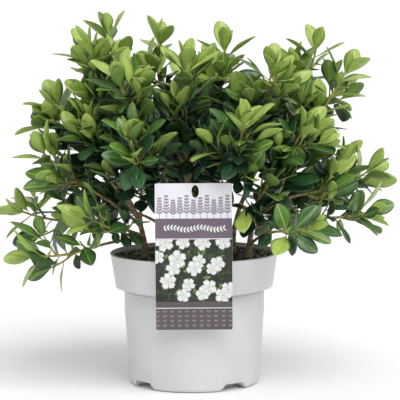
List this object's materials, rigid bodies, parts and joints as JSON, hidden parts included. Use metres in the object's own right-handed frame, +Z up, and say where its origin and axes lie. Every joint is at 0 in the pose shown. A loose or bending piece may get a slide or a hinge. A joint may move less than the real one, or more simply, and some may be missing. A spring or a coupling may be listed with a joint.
{
  "type": "potted azalea shrub",
  "caption": "Small evergreen azalea out of flower: slender stems fan out of a light grey nursery pot into rosettes of glossy leaves, with a printed label card hung on the rim.",
  "frame": {"origin": "centre of the pot's flat underside, on the pot's axis", "axes": "+Z up along the pot's axis; -Y is the front, where the label card hangs; +X is to the right of someone facing that front"},
  "size_m": [0.4568, 0.3561, 0.4235],
  "materials": {
    "pot": "light grey moulded plastic, satin",
    "soil": "damp crumbly peat",
    "label": "printed plastic card with a soft sheen",
    "bark": "thin grey-brown bark, yellowish on young shoots",
    "leaves": "leathery, glossy above and matt below"
  },
  "bodies": {
    "root": {"pot": "pot", "soil": "soil", "label_card": "label", "stem_back": "bark", "stem_back_left": "bark", "stem_back_right": "bark", "stem_centre": "bark", "stem_centre_right": "bark", "stem_left": "bark", "stem_right": "bark", "bough_back_high": "bark", "bough_back_left": "bark", "bough_back_low": "bark", "bough_back_low_left": "bark", "bough_back_low_right": "bark", "bough_back_right": "bark", "bough_front_high_left": "bark", "bough_front_left": "bark", "bough_front_low_left": "bark", "bough_front_low_right": "bark", "bough_front_mid_right": "bark", "bough_front_right": "bark", "bough_left_bottom": "bark", "bough_left_high": "bark", "bough_left_low": "bark", "bough_left_mid": "bark", "bough_right_high": "bark", "bough_right_low": "bark", "bough_right_mid": "bark", "bough_top_left": "bark", "bough_top_right": "bark", "crown_back": "leaves", "crown_back_left": "leaves", "crown_back_right": "leaves", "crown_centre": "leaves", "crown_centre_right": "leaves", "crown_left": "leaves", "crown_right": "leaves", "spray_back_high": "leaves", "spray_back_left": "leaves", "spray_back_low": "leaves", "spray_back_low_left": "leaves", "spray_back_low_right": "leaves", "spray_back_right": "leaves", "spray_front_high_left": "leaves", "spray_front_left": "leaves", "spray_front_low_left": "leaves", "spray_front_low_right": "leaves", "spray_front_mid_right": "leaves", "spray_front_right": "leaves", "spray_left_bottom": "leaves", "spray_left_high": "leaves", "spray_left_low": "leaves", "spray_left_mid": "leaves", "spray_right_high": "leaves", "spray_right_low": "leaves", "spray_right_mid": "leaves", "spray_top_left": "leaves", "spray_top_right": "leaves"}
  },
  "joints": []
}
